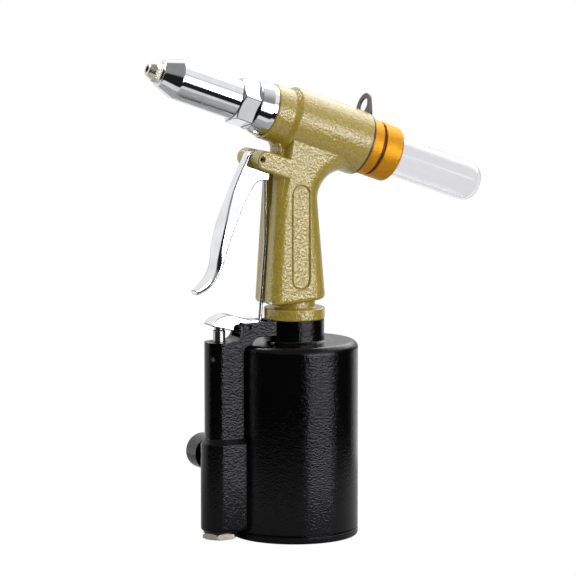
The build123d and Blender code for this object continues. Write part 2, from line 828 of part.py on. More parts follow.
def air_cylinder():
    """Cup with its neck, valve block and lever bracket, open at the bottom."""
    cup = turned([(0, cylinder_bottom), (air_r, cylinder_bottom), (air_r, air_top), (neck_r, air_top),
                  (neck_r, neck_top), (0, neck_top)],
                 [(1, edge_round), (2, air_shoulder), (3, neck_fillet), (4, edge_round)])
    body = cup + valve_block() + bracket()
    body -= rod(air_bore_r, cylinder_bottom - past, roof_under)
    body -= rod(gland_nut_r + seated, roof_under - past, neck_top + past)
    body -= Pos(-valve_x, 0, 0) * rod(valve_bore_r, block_bottom - past, block_top + past)
    body -= crossbar(inlet_spigot_r + seated, -valve_x, inlet_z, 0, block_low_r + past)
    body -= Pos(-valve_x, 0, port_z) * Rot(0, 90, 0) * rod(port_r, 0, valve_x - air_bore_r + port_r)
    body -= crossbar(lever_pin_r + seated, -lever_x, lever_z, -2 * block_r, 2 * block_r)
    return body - guide_screw_place() * rod(guide_screw_r + seated, valve_bore_r - past, block_r + past)


def guide_screw_place():
    """Where the valve guide's locking screw enters the column."""
    return Pos(-valve_x, 0, block_top - guide_screw_drop) * Rot(0, 0, guide_screw_turn) * Rot(0, 90, 0)


def guide_screw():
    """Grub screw that locks the valve guide."""
    body = rod(guide_screw_r, valve_bore_r, block_r - loose)
    socket = extrude(RegularPolygon(guide_screw_r / 2, 6, major_radius=False), guide_screw_r)
    return guide_screw_place() * (body - Pos(0, 0, block_r - loose - guide_screw_r) * socket)


def bottom_cap():
    """Screwed base of the cylinder, flat underneath."""
    top = cylinder_bottom + cap_spigot
    spigot_r = air_bore_r - seated
    body = turned([(0, 0), (air_r, 0), (air_r, cap_flange), (air_r - cap_step, cap_flange),
                   (air_r - cap_step, cylinder_bottom), (spigot_r, cylinder_bottom), (spigot_r, top),
                   (air_bore_r - cap_wall, top), (air_bore_r - cap_wall, cap_flange), (0, cap_flange)],
                  [(1, cap_round), (2, edge_round)])
    low = cylinder_bottom + seal_groove_at
    return body - ring(air_bore_r - seal_groove_d, air_bore_r + past, low, low + seal_groove_w)


def bottom_cap_seal():
    """O-ring on the base's spigot."""
    low = cylinder_bottom + seal_groove_at
    return ring(air_bore_r - seal_groove_d + seated, air_bore_r - seated / 2, low + seated,
                low + seal_groove_w - seated)


def bumper():
    """Rubber ring that the air piston comes to rest on."""
    top = air_piston_rest - running
    return turned([(bumper_in, cap_flange), (bumper_out, cap_flange), (bumper_out - bumper_draft, top),
                   (bumper_in + bumper_draft, top)])


def air_piston():
    """Dished disc that the air pushes up."""
    low, high = air_piston_rest, ram_shoulder
    rim_r = air_bore_r - air_piston_play
    web = low + air_piston_web
    dish_r = rim_r - air_piston_rim
    body = turned([(0, low), (rim_r, low), (rim_r, high), (dish_r, high), (dish_r - air_piston_draft, web),
                   (air_piston_hub_r + air_piston_draft, web), (air_piston_hub_r, high), (0, high)],
                  [(1, air_piston_round), (2, air_piston_round)])
    groove = air_seal_low()
    body -= ring(air_bore_r - air_seal_d, air_bore_r + past, groove, groove + air_seal_w)
    return body - rod(ram_stud_r + seated, low - past, high + past)


def air_seal_low():
    """Height of the air piston's seal groove."""
    return air_piston_rest + (air_piston_h - air_seal_w) / 2


def air_piston_seal():
    """Seal ring of the air piston."""
    low = air_seal_low()
    inner = air_bore_r - air_seal_d + seated
    return ring(inner, air_bore_r - running, low + seated, low + air_seal_w - seated)


def ram():
    """Polished rod that the air piston drives into the oil."""
    stud = air_piston_rest - ram_stud
    return turned([(0, stud), (ram_stud_r, stud), (ram_stud_r, ram_shoulder), (ram_r, ram_shoulder),
                   (ram_r, ram_top - ram_bevel), (ram_r - ram_bevel, ram_top), (0, ram_top)])


def piston_nut():
    """Nut that holds the air piston on the ram."""
    nut = hexagon(piston_nut_af, air_piston_rest - piston_nut_h, air_piston_rest)
    return nut - rod(ram_stud_r + seated, 0, air_piston_rest + past)


def gland_nut():
    """Hollow bolt from inside the cylinder that clamps the casting on the neck and guides the ram."""
    low = roof_under - gland_nut_head
    body = hexagon(gland_nut_af, low, roof_under) + rod(gland_nut_r, roof_under, gland_top)
    return body - rod(ram_r + running, low - past, gland_top + past)


def ram_seal():
    """Oil seal round the ram on top of the gland nut."""
    return ring(ram_r + running, gland_nut_r, gland_top, gland_top + ram_seal_h)


def valve_stem():
    """Spool that the lever pushes down, with a round nose under the lever."""
    land = inlet_z + spool_gap + spool_taper
    neck = block_top + stem_neck_rise
    neck_r = stem_r - stem_neck
    low_land = spool_bottom + spool_len
    body = turned([(0, spool_bottom), (spool_r, spool_bottom), (spool_r, low_land),
                   (spool_waist_r, low_land + spool_taper), (spool_waist_r, land - spool_taper),
                   (spool_r, land), (spool_r, land + spool_len), (stem_r, land + spool_len + spool_taper),
                   (stem_r, neck - stem_neck), (neck_r, neck), (neck_r, stem_top), (0, stem_top)],
                  [(10, stem_nose_r)])
    for low in spool_grooves():
        body -= ring(spool_groove_r, valve_bore_r, low, low + spool_groove_w)
    return Pos(-valve_x, 0, 0) * body


def spool_grooves():
    """Heights of the O-ring grooves on the spool, two in each land."""
    lands = spool_bottom, inlet_z + spool_gap + spool_taper
    return [land + spool_groove_at + step for land in lands for step in (0, spool_groove_step)]


def valve_seals():
    """O-rings of the spool."""
    place = Pos(-valve_x, 0, 0)
    inner, outer = spool_groove_r + seated, valve_bore_r - running
    return [place * ring(inner, outer, low + seated, low + spool_groove_w - seated)
            for low in spool_grooves()]


def valve_guide():
    """Bush in the top of the block that the stem slides in."""
    return Pos(-valve_x, 0, 0) * ring(stem_r + running, valve_bore_r - seated, block_top - guide_h,
                                      block_top - guide_sink)


def valve_spring():
    """Space of the spring that lifts the spool."""
    low = block_bottom + plug_spigot
    return Pos(-valve_x, 0, 0) * ring(valve_spring_in, valve_spring_out, low, spool_bottom)


def valve_plug():
    """Hexagon plug under the valve block."""
    body = hexagon(plug_af, plug_top - plug_hex, plug_top)
    body += rod(valve_bore_r - seated, plug_top, block_bottom + plug_spigot)
    return Pos(-valve_x, 0, 0) * body


def plug_seal():
    """Sealing washer between the plug and the valve block."""
    return Pos(-valve_x, 0, 0) * ring(valve_bore_r, block_low_r - block_round, plug_top, block_bottom)


def air_inlet():
    """Round adapter on the far flank with the thread for the air line."""
    start = block_low_r - inlet_spigot
    body = turned([(0, start), (inlet_spigot_r, start), (inlet_spigot_r, block_low_r), (inlet_r, block_low_r),
                   (inlet_r, inlet_end), (0, inlet_end)], [(4, inlet_round)])
    body -= rod(inlet_thread_r, inlet_end - inlet_depth, inlet_end + past)
    body -= rod(inlet_bore_r, 0, inlet_end)
    return Pos(-valve_x, 0, inlet_z) * Rot(-90, 0, 0) * body


def hold(share, inset=0):
    """Point of the trigger's side view, from its shares of the reach and the drop from the pivot."""
    return trigger_x - share[0] * trigger_reach + inset, trigger_z - share[1] * trigger_drop


def trigger_side(inset):
    """Side view of the trigger, its front line set back by the inset."""
    pivot = (trigger_x, trigger_z)
    brow = (trigger_x - trigger_nose + inset, trigger_z)
    knee, tip = hold(trigger_knee, inset), hold((1, 1), inset)
    heel = (tip[0] + trigger_lip / 3, tip[1] - trigger_lip)
    back = hold(knee_back)
    root = (trigger_x + horn_root, horn[1] - horn_r)
    under = (horn[0], root[1])
    front = make_face(
        ThreePointArc(brow, hold(trigger_bow, inset), knee)
        + ThreePointArc(knee, hold(trigger_curl, inset), tip)
        + Line(tip, heel)
        + ThreePointArc(heel, hold(curl_back), back)
        + ThreePointArc(back, hold(bow_back), root)
        + Polyline(root, under, pivot, brow))
    front = fillet(front.vertices().sort_by_distance((*root, 0))[0], horn_round)
    boss = disc_at(pivot, trigger_boss_r - inset)
    brow_disc = disc_at((brow[0] + trigger_brow_r, brow[1] - trigger_brow_r), trigger_brow_r)
    head = make_hull(boss.edges() + disc_at(horn, horn_r).edges() + brow_disc.edges())
    return front + head


def trigger_front(inset):
    """Front view of the trigger: narrow between the ears, wide at the fingers, round at the tip."""
    narrow, wide = trigger_half - inset, finger_half - inset
    top = trigger_z + 2 * ear_r
    waist, palm = hold((0, trigger_waist))[1], hold((0, trigger_palm))[1]
    bottom = trigger_z - trigger_drop - trigger_lip - trigger_end + inset
    corners = [(-narrow, top), (-narrow, waist), (-wide, palm), (-wide, bottom), (wide, bottom), (wide, palm),
               (narrow, waist), (narrow, top)]
    outline = Polygon(*corners)
    sweep = (waist - palm) * trigger_sweep
    end = wide - loose
    for corner, radius in ((1, sweep), (6, sweep), (2, sweep), (5, sweep), (3, end), (4, end)):
        outline = fillet(outline.vertices().sort_by_distance((*corners[corner], 0))[0], radius)
    return extrude(Plane.YZ * outline, 2 * trigger_drop, both=True)


def trigger():
    """Lever of pressed channel section: finger face, two flanks and the horn for the rod."""
    body = plate(trigger_side(0), 2 * finger_half) & trigger_front(0)
    inner = plate(trigger_side(trigger_wall), 2 * finger_half) & trigger_front(trigger_wall)
    for step in range(3):
        body -= Pos(step * hollow_step, 0, -step * hollow_fall) * inner
    body -= crossbar(trigger_pin_r + running, trigger_x, trigger_z, -2 * grip_half, 2 * grip_half)
    return body - crossbar(rod_pin_r + seated, *horn, -2 * grip_half, 2 * grip_half)


def trigger_pin():
    """Rolled pin through the ears, a little short of their faces."""
    reach = grip_half - pin_recess
    body = crossbar(trigger_pin_r, trigger_x, trigger_z, -reach, reach)
    return body - crossbar(trigger_pin_r / 2, trigger_x, trigger_z, -2 * reach, 2 * reach)


def rod_pin():
    """Pin that joins the rod to the trigger's horn."""
    return crossbar(rod_pin_r, *horn, -trigger_half, trigger_half)


def trigger_rod():
    """Rod down the grip's front with an eye at each end."""
    top, low = Vector(horn[0], 0, horn[1]), Vector(-link_x, 0, link_z)
    knee = low + (top - low) * rod_knee + Vector(rod_bend, 0, 0)
    half = trigger_half - trigger_wall - loose
    body = Pos(knee) * Sphere(rod_r)
    for end in (top, low):
        body += Plane(knee, z_dir=end - knee) * extrude(Circle(rod_r), (end - knee).length)
    body += crossbar(rod_eye_r, top.X, top.Z, -half, half) + crossbar(rod_eye_r, low.X, low.Z, -half, half)
    body -= crossbar(rod_pin_r + running, top.X, top.Z, -2 * half, 2 * half)
    return body - crossbar(rod_pin_r + link_play, low.X, low.Z, -2 * half, 2 * half)


def hood_line(inset):
    """Top line of the lever from the hood's tip over the stem to the strap, set in by the inset."""
    tip = (-valve_x - hood_reach + inset, lever_z + hood_mouth)
    crest = (-valve_x + hood_crest, lever_z + hood_rise - inset)
    heel = (-lever_x - hood_heel + hood_crest, lever_z + hood_slope * hood_rise - inset)
    strap = (-lever_x + lever_lug_r, lever_z + lever_lug_r + lever_wall - inset)
    end = (-link_x - lever_lug_r, strap[1])
    return ThreePointArc(tip, crest, heel) + Line(heel, strap) + Line(strap, end), tip, end


def valve_lever():
    """Pressed rocker between the bracket's arms: hood over the stem, strap, and two lugs."""
    line, tip, end = hood_line(0)
    low = (-lever_x - hood_heel, lever_z - hood_drop)
    inside = (-lever_x - lever_lug_r - hood_arch, lever_z + lever_lug_r / 2)
    beside = (low[0] + hood_arch / 2, inside[1])
    under = (end[0], lever_z + lever_wall)
    mouth = (tip[0] + hood_bevel, tip[1] - hood_bevel)
    hood = make_face(line + Polyline(end, under, inside) + ThreePointArc(inside, beside, low)
                     + Polyline(low, mouth, tip))
    lugs = make_hull(disc_at((-lever_x, lever_z), lever_lug_r).edges()
                     + disc_at((-link_x, link_z), link_lug_r).edges())
    body = plate(hood + lugs, lever_half)
    line, tip, end = hood_line(lever_wall)
    over, floor, back = lever_z + 2 * hood_rise, lever_z - 2 * hood_rise, -link_x + 4 * link_lug_r
    corners = [end, (end[0], over), (back, over), (back, floor), (tip[0], floor), tip]
    room = make_face(line + Polyline(*corners))
    body -= plate(room, lever_half - lever_wall)
    body -= crossbar(lever_pin_r + running, -lever_x, lever_z, -2 * block_r, 2 * block_r)
    return body - crossbar(rod_pin_r + seated, -link_x, link_z, -2 * block_r, 2 * block_r)


def lever_pin():
    """Pivot pin of the lever, a little short of the bracket's faces."""
    reach = block_r - pin_recess
    return crossbar(lever_pin_r, -lever_x, lever_z, -reach, reach)


def link_pin():
    """Pin that joins the lever to the rod."""
    return crossbar(rod_pin_r, -link_x, link_z, -lever_half, lever_half)


upright = {
    "body_casting": body_casting, "oil_screw": oil_screw, "oil_screw_washer": oil_screw_washer,
    "air_cylinder": air_cylinder, "guide_screw": guide_screw, "bottom_cap": bottom_cap,
    "bottom_cap_seal": bottom_cap_seal, "bumper": bumper, "air_piston": air_piston,
    "air_piston_seal": air_piston_seal, "ram": ram, "piston_nut": piston_nut, "gland_nut": gland_nut,
    "ram_seal": ram_seal, "valve_stem": valve_stem, "valve_seals": valve_seals, "valve_guide": valve_guide,
    "valve_spring": valve_spring, "valve_plug": valve_plug, "plug_seal": plug_seal, "air_inlet": air_inlet,
    "trigger": trigger, "trigger_pin": trigger_pin, "rod_pin": rod_pin, "trigger_rod": trigger_rod,
    "valve_lever": valve_lever, "lever_pin": lever_pin, "link_pin": link_pin,
}
along_barrel = {
    "hex_adapter": hex_adapter, "nose_housing": nose_housing, "nosepiece": nosepiece, "rod_seal": rod_seal,
    "pull_piston": pull_piston, "pull_piston_seals": pull_piston_seals, "return_spring": return_spring,
    "jaw_case": jaw_case, "jaw_pusher": jaw_pusher, "jaw_spring": jaw_spring, "hanger": hanger,
    "end_cap": end_cap, "end_cap_seal": end_cap_seal, "collar_seal": collar_seal,
    "collector_collar": collector_collar, "bottle_seal": bottle_seal, "collector_bottle": collector_bottle,
}


def gathered(shape):
    """One compound of a piece, or of the like pieces that share a node."""
    if isinstance(shape, list):
        return Compound([solid for piece in shape for solid in piece.solids()])
    return shape


os.makedirs("parts", exist_ok=True)
for name, make in upright.items():
    export_step(gathered(make()), f"parts/{name}.step")
for name, make in along_barrel.items():
    export_step(barrel * gathered(make()), f"parts/{name}.step")
for number, name in enumerate(("jaw_upper", "jaw_far", "jaw_near")):
    export_step(barrel * jaw(number), f"parts/{name}.step")
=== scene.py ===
import math

import bmesh
import bpy
import numpy as np
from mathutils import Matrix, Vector


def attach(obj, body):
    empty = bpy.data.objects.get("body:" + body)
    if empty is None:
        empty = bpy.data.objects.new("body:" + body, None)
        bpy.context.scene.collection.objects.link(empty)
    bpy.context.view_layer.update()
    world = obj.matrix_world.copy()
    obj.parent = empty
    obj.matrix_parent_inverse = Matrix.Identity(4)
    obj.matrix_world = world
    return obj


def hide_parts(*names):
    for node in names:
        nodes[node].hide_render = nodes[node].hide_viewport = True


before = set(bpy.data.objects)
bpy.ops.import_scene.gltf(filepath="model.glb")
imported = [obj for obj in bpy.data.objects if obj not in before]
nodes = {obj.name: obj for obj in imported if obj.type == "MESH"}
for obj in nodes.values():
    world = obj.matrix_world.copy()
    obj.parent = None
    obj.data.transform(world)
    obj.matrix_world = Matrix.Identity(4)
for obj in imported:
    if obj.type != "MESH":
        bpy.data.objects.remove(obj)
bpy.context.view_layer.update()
print("frame loaded:", len(nodes), "nodes")


# the photograph's view
view = {
    "azimuth": -25.4,             # degrees round Z, 0 looks along +Y
    "elevation": 7.4,
    "aim": (-0.0047, 0.0, 0.1687),
    "distance": 2.4762,
    "lens": 228.7,
    "farthest": 20,               # m
}


def placeCamera(view):
    turn = math.radians(view["azimuth"])
    rise = math.radians(view["elevation"])
    back = np.array([math.sin(turn) * math.cos(rise),
                     -math.cos(turn) * math.cos(rise),
                     math.sin(rise)])
    camera = bpy.data.objects.new("camera", bpy.data.cameras.new("camera"))
    camera.location = np.array(view["aim"]) + view["distance"] * back
    camera.rotation_euler = (math.pi / 2 - rise, 0, turn)
    camera.data.lens = view["lens"]
    camera.data.clip_end = view["farthest"]
    bpy.context.scene.collection.objects.link(camera)
    bpy.context.scene.camera = camera


def rgba(colour, share=1.0):
    return (*[part * share for part in colour], 1.0)


class Socket:
    # an output of a node tree: arithmetic on it adds Math nodes
    def __init__(self, tree, out):
        self.tree = tree
        self.out = out

    # any other node: its settings first, then the values or links of its sockets
    def node(self, kind, settings, inputs, pick=0):
        made = self.tree.nodes.new(kind)
        for name, value in settings.items():
            setattr(made, name, value)
        setSockets(made, inputs)
        return Socket(self.tree, made.outputs[pick])

    def math(self, operation, first, second=0.0):
        return self.node("ShaderNodeMath", {"operation": operation}, {0: first, 1: second})

    def __add__(self, other):
        return self.math("ADD", self, other)

    def __radd__(self, other):
        return self.math("ADD", other, self)

    def __sub__(self, other):
        return self.math("SUBTRACT", self, other)

    def __rsub__(self, other):
        return self.math("SUBTRACT", other, self)

    def __mul__(self, other):
        return self.math("MULTIPLY", self, other)

    def __rmul__(self, other):
        return self.math("MULTIPLY", other, self)

    def __neg__(self):
        return self.math("SUBTRACT", 0.0, self)

    def __abs__(self):
        return self.math("ABSOLUTE", self)

    def cosine(self):
        return self.math("COSINE", self)

    def largest(self, other):
        return self.math("MAXIMUM", self, other)

    # 0 at low, 1 at high, smooth between
    def step(self, low, high):
        return self.node("ShaderNodeMapRange", {"interpolation_type": "SMOOTHSTEP"},
                         {"Value": self, "From Min": low, "From Max": high})

    # up over the first range and down over the second
    def band(self, rise, fall):
        return self.step(*rise) * (1.0 - self.step(*fall))

    # this value as the share of the second colour
    def blend(self, first, second):
        return self.node("ShaderNodeMix", {"data_type": "RGBA"}, {0: self, 6: first, 7: second}, 2)

    # a colour from one share of itself to another
    def shades(self, colour, low, high=1.0):
        return self.blend(rgba(colour, low), rgba(colour, high))

    def noise(self, width, detail=2.0, roughness=0.5):
        return self.node("ShaderNodeTexNoise", {},
                         {"Vector": self, "Scale": 1 / width, "Detail": detail,
                          "Roughness": roughness})

    # the surface's normals with the edges rounded off by the radius
    def rounded(self, radius, samples=8):
        return self.node("ShaderNodeBevel", {"samples": samples}, {"Radius": radius})

    def bump(self, depth, normal=None):
        inputs = {"Strength": 1.0, "Distance": depth, "Height": self}
        if normal:
            inputs["Normal"] = normal
        return self.node("ShaderNodeBump", {}, inputs)


def setSockets(shader, values):
    for name, value in values.items():
        if isinstance(value, Socket):
            value.tree.links.new(value.out, shader.inputs[name])
        else:
            shader.inputs[name].default_value = value


# a new material, its shader and the Object coordinates to draw on
def startMaterial(name):
    material = bpy.data.materials.new(name)
    material.use_nodes = True
    tree = material.node_tree
    coords = tree.nodes.new("ShaderNodeTexCoord")
    return material, tree.nodes["Principled BSDF"], Socket(tree, coords.outputs["Object"])


# hammered olive-gold paint of the casting; widths and depths in metres, here and below
oliveFinish = {
    # painted shade and light: the pit colour is darker and the crest colour lighter, and the
    # surface takes one or the other with the marks' height
    "pit": (0.43, 0.312, 0.028),
    "crest": (0.57, 0.43, 0.06),
    "tone": (0.32, 0.64),         # heights of pits and crests
    "mark": 0.0015,               # width of a hammer mark
    "fine": 0.0005,               # width of the grain on it
    "cloud": 0.03,                # width of lighter and darker patches
    "fineTone": 0.15,
    "cloudTone": 0.1,
    "fineHeight": 0.2,            # against the marks' 1
    "depth": 0.0004,
    "edge": 0.0012,
    "roughness": (0.32, 0.10),    # in the pits and on the crests
    "ior": 1.9,
}


def oliveMaterial(name, finish):
    material, shader, coords = startMaterial(name)
    marks = coords.noise(finish["mark"], detail=1.5)
    fine = coords.noise(finish["fine"], detail=1.0)
    cloud = coords.noise(finish["cloud"])
    height = marks + finish["fineTone"] * (fine - 0.5) + finish["cloudTone"] * (cloud - 0.5)
    tone = height.step(*finish["tone"])
    pit, crest = finish["roughness"]
    relief = marks + finish["fineHeight"] * fine
    setSockets(shader, {
        # painted shade in the pits and painted light on the crests
        "Base Color": tone.blend(rgba(finish["pit"]), rgba(finish["crest"])),
        "Roughness": pit + (crest - pit) * tone,
        "IOR": finish["ior"],
        "Normal": relief.bump(finish["depth"], coords.rounded(finish["edge"])),
    })
    return material


# glossy black paint with orange peel
blackFinish = {
    "colour": (0.0016, 0.0016, 0.0018),
    "dust": 0.02,                 # width of its patches
    "dustTone": (0.3, 0.8),
    "dusty": 1.8,                 # colour there, against the plain one
    "peel": 0.0012,               # width of a wrinkle
    "depth": 0.00018,
    "edge": 0.0008,
    "slope": (0.03, 0.13),        # distance from the middle height, on and off a wrinkle's slopes
    "roughness": (0.06, 0.2),     # on the slopes and off them
    "ior": 1.36,
    "gloss": (0.95, 0.93, 1.0),
}


def blackMaterial(name, finish):
    material, shader, coords = startMaterial(name)
    peel = coords.noise(finish["peel"], detail=1.0)
    dust = coords.noise(finish["dust"], detail=3.0).step(*finish["dustTone"])
    offSlope = abs(peel - 0.5).step(*finish["slope"])
    on, off = finish["roughness"]
    setSockets(shader, {
        "Base Color": dust.shades(finish["colour"], 1.0, finish["dusty"]),
        "Roughness": on + (off - on) * offSlope,
        "IOR": finish["ior"],
        "Specular Tint": rgba(finish["gloss"]),
        "Normal": peel.bump(finish["depth"], coords.rounded(finish["edge"])),
    })
    return material


# bare and plated metals: colour, roughness and its spread, width and depth of the grain, and for
# chrome the radius of its rounded edges, where a dark reflection is painted
metalFinishes = {
    "chrome": {"colour": (0.80, 0.81, 0.83), "roughness": 0.06, "spread": 0.04,
               "grain": 0.012, "depth": 0.000002, "edge": 0.0012},
    "nickel": {"colour": (0.74, 0.70, 0.61), "roughness": 0.30, "spread": 0.10,
               "grain": 0.004, "depth": 0.000002},
    "steel": {"colour": (0.55, 0.54, 0.52), "roughness": 0.24, "spread": 0.14,
              "grain": 0.004, "depth": 0.00001},
    "copper": {"colour": (0.70, 0.32, 0.18), "roughness": 0.3, "spread": 0.14,
               "grain": 0.004, "depth": 0.00001},
    "aluminium": {"colour": (0.66, 0.67, 0.68), "roughness": 0.35, "spread": 0.14,
                  "grain": 0.003, "depth": 0.00002},
}
grainTone = (0.25, 0.75)          # heights of the grain from the shaded to the full colour
metalShade = 0.86
# painted reflection: the dark colour painted along chrome's rounded edges, and how far the normal
# turns before it comes in
paintedEdgeReflection = {"colour": (0.05, 0.05, 0.055), "turn": (0.004, 0.05)}


def metalMaterial(name, finish):
    material, shader, coords = startMaterial(name)
    grain = coords.noise(finish["grain"], detail=4.0, roughness=0.6)
    colour = grain.step(*grainTone).shades(finish["colour"], metalShade)
    normal = None
    if "edge" in finish:
        # painted reflection: the base colour is painted dark where the rounded normal turns from
        # the face's, in place of the dark room that a rounded edge mirrors
        normal = coords.rounded(finish["edge"])
        plain = coords.node("ShaderNodeNewGeometry", {}, {}, "Normal")
        along = coords.node("ShaderNodeVectorMath", {"operation": "DOT_PRODUCT"},
                            {0: normal, 1: plain}, "Value")
        colour = (1.0 - along).step(*paintedEdgeReflection["turn"]).blend(colour, rgba(paintedEdgeReflection["colour"]))
    setSockets(shader, {
        "Base Color": colour,
        "Roughness": finish["roughness"] + finish["spread"] * (grain - 0.5),
        "Metallic": 1.0,
        "Normal": grain.bump(finish["depth"], normal),
    })
    return material


# dyed and oxidised skins on metal: colour, share of bare metal, gloss and width of the grain
skinFinishes = {
    "orange_anodised": {"colour": (0.84, 0.37, 0.009), "metal": 0.7, "roughness": 0.48,
                        "ior": 1.5, "grain": 0.0016},
    "dark_steel": {"colour": (0.080, 0.062, 0.056), "metal": 0.0, "roughness": 0.34,
                   "ior": 1.5, "grain": 0.003},
}
skinGrain = {"shade": 0.8, "spread": 0.14, "depth": 0.00002}


def skinMaterial(name, finish):
    material, shader, coords = startMaterial(name)
    grain = coords.noise(finish["grain"], detail=3.0, roughness=0.6)
    setSockets(shader, {
        "Base Color": grain.step(*grainTone).shades(finish["colour"], skinGrain["shade"]),
        "Roughness": finish["roughness"] + skinGrain["spread"] * (grain - 0.5),
        "Metallic": finish["metal"],
        "IOR": finish["ior"],
        "Normal": grain.bump(skinGrain["depth"]),
    })
    return material


rubberFinishes = {
    "black_rubber": {"colour": (0.014, 0.014, 0.015), "roughness": 0.55},
    "red_rubber": {"colour": (0.10, 0.014, 0.006), "roughness": 0.5},
}
rubberGrain = {"width": 0.0008, "shades": (0.8, 1.2), "spread": 0.2, "depth": 0.00003}


def rubberMaterial(name, finish):
    material, shader, coords = startMaterial(name)
    grain = coords.noise(rubberGrain["width"])
    setSockets(shader, {
        "Base Color": grain.shades(finish["colour"], *rubberGrain["shades"]),
        "Roughness": finish["roughness"] + rubberGrain["spread"] * (grain - 0.5),
        "Normal": grain.bump(rubberGrain["depth"]),
    })
    return material


# clear plastic of the bottle
clearFinish = {
    "colour": (0.855, 0.855, 0.87),
    "roughness": 0.04,
    "ior": 1.38,
    "mirror": 0.35,               # share of plain gloss that it keeps
    "haze": 0.01,                 # width of its patches
    "hazeShade": 0.97,
    "hazeRoughness": 0.03,
}


def clearMaterial(name, finish):
    material, shader, coords = startMaterial(name)
    haze = coords.noise(finish["haze"], detail=3.0)
    setSockets(shader, {
        "Base Color": haze.shades(finish["colour"], finish["hazeShade"]),
        "Roughness": finish["roughness"] + finish["hazeRoughness"] * haze,
        "Transmission Weight": 1.0,
        "IOR": finish["ior"],
        "Specular Tint": rgba([finish["mirror"]] * 3),
    })
    return material


materials = {
    "olive_paint": oliveMaterial("olive_paint_hammered", oliveFinish),
    "black_paint": blackMaterial("black_paint_glossy", blackFinish),
    "clear_plastic": clearMaterial("clear_plastic_bottle", clearFinish),
}
for slot, finish in metalFinishes.items():
    materials[slot] = metalMaterial(slot + "_metal", finish)
for slot, finish in skinFinishes.items():
    materials[slot] = skinMaterial(slot + "_skin", finish)
for slot, finish in rubberFinishes.items():
    materials[slot] = rubberMaterial(slot + "_moulded", finish)

for node in nodes.values():
    for slot in node.material_slots:
        slot.material = materials[slot.material.name]
print("materials:", len(materials))


# the barrel's axis, which the turned pieces stand on
barrelAxis = {"height": 0.282, "tilt": 19.5}


# outline with its corners rounded: each corner that has a radius gives way to a tangent arc,
# swung from the radius at its start to the radius at its end
def roundedOutline(corners, steps=8):
    points = np.array([corner[:2] for corner in corners], float)
    radii = [corner[2] if len(corner) > 2 else 0.0 for corner in corners]
    outline = []
    for i, radius in enumerate(radii):
        if radius == 0:
            outline.append(points[i][None])
            continue
        before = points[i - 1] - points[i]
        after = points[(i + 1) % len(points)] - points[i]
        before /= np.linalg.norm(before)
        after /= np.linalg.norm(after)
        half = math.acos(np.clip(before @ after, -1, 1)) / 2
        towards = (before + after) / np.linalg.norm(before + after)
        middle = points[i] + towards * radius / math.sin(half)
        start = points[i] + before * radius / math.tan(half) - middle
        end = points[i] + after * radius / math.tan(half) - middle
        share = np.linspace(0, 1, steps)[:, None]
        swing = math.pi - 2 * half
        arc = np.sin((1 - share) * swing) * start + np.sin(share * swing) * end
        outline.append(middle + arc / math.sin(swing))
    return np.concatenate(outline)


# points on a closed outline: each run is divided evenly, into steps of at most its longest
def dividedOutline(outline, longest):
    runs = []
    ends = np.roll(outline, -1, axis=0)
    for start, end, most in zip(outline, ends, np.broadcast_to(longest, len(outline))):
        count = max(1, math.ceil(np.linalg.norm(end - start) / most))
        runs.append(start + (end - start) * (np.arange(count) / count)[:, None])
    return np.concatenate(runs)


# an outline's stations and radii, mm, repeated at even angles
def turnedGrid(outline, columns):
    angle = np.linspace(0, 2 * np.pi, columns, endpoint=False)
    station, turn = np.meshgrid(outline[:, 0], angle, indexing="ij")
    return station, np.repeat(outline[:, 1:2], columns, axis=1), turn


# surface turned round the barrel: station along the axis and radius, mm, at each angle
def turnedPoints(station, radius, turn):
    tilt = math.radians(barrelAxis["tilt"])
    forward = np.array([-math.cos(tilt), 0.0, math.sin(tilt)])
    side = np.array([0.0, -1.0, 0.0])
    top = np.cross(forward, side)
    middle = np.array([0.0, 0.0, barrelAxis["height"]])
    outward = np.cos(turn)[..., None] * side + np.sin(turn)[..., None] * top
    return middle + station[..., None] / 1000 * forward + radius[..., None] / 1000 * outward


def mergeDoubles(mesh, apart=1e-6):
    work = bmesh.new()
    work.from_mesh(mesh)
    bmesh.ops.remove_doubles(work, verts=work.verts, dist=apart)
    work.to_mesh(mesh)
    work.free()


# mesh of a grid of points whose rows close on themselves, its faces turned outwards;
# the last row joins the first in a loop, and without one the end rows are poles
def gridMesh(name, points, loop=True, sharp=30):
    rows, columns = points.shape[:2]
    row, column = np.meshgrid(np.arange(rows if loop else rows - 1), np.arange(columns),
                              indexing="ij")
    nextRow, nextColumn = (row + 1) % rows, (column + 1) % columns
    corners = [row * columns + column, row * columns + nextColumn,
               nextRow * columns + nextColumn, nextRow * columns + column]
    faces = np.stack(corners, axis=-1).reshape(-1, 4)
    places = points.reshape(-1, 3)
    first, second, third, fourth = [places[faces[:, i]] for i in range(4)]
    volume = np.sum(first * np.cross(second, third)) + np.sum(first * np.cross(third, fourth))
    if volume < 0:
        faces = faces[:, ::-1]
    mesh = bpy.data.meshes.new(name)
    mesh.vertices.add(len(places))
    mesh.vertices.foreach_set("co", places.ravel())
    mesh.loops.add(faces.size)
    mesh.loops.foreach_set("vertex_index", faces.ravel())
    mesh.polygons.add(len(faces))
    mesh.polygons.foreach_set("loop_start", np.arange(0, faces.size, 4))
    mesh.update(calc_edges=True)
    if not loop:
        mergeDoubles(mesh)
    mesh.polygons.foreach_set("use_smooth", np.ones(len(mesh.polygons), bool))
    mesh.set_sharp_from_angle(angle=math.radians(sharp))
    piece = bpy.data.objects.new(name, mesh)
    bpy.context.scene.collection.objects.link(piece)
    return piece


def finishPiece(piece, slot, body, replaced):
    piece.data.materials.append(materials[slot])
    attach(piece, body)
    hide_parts(replaced)


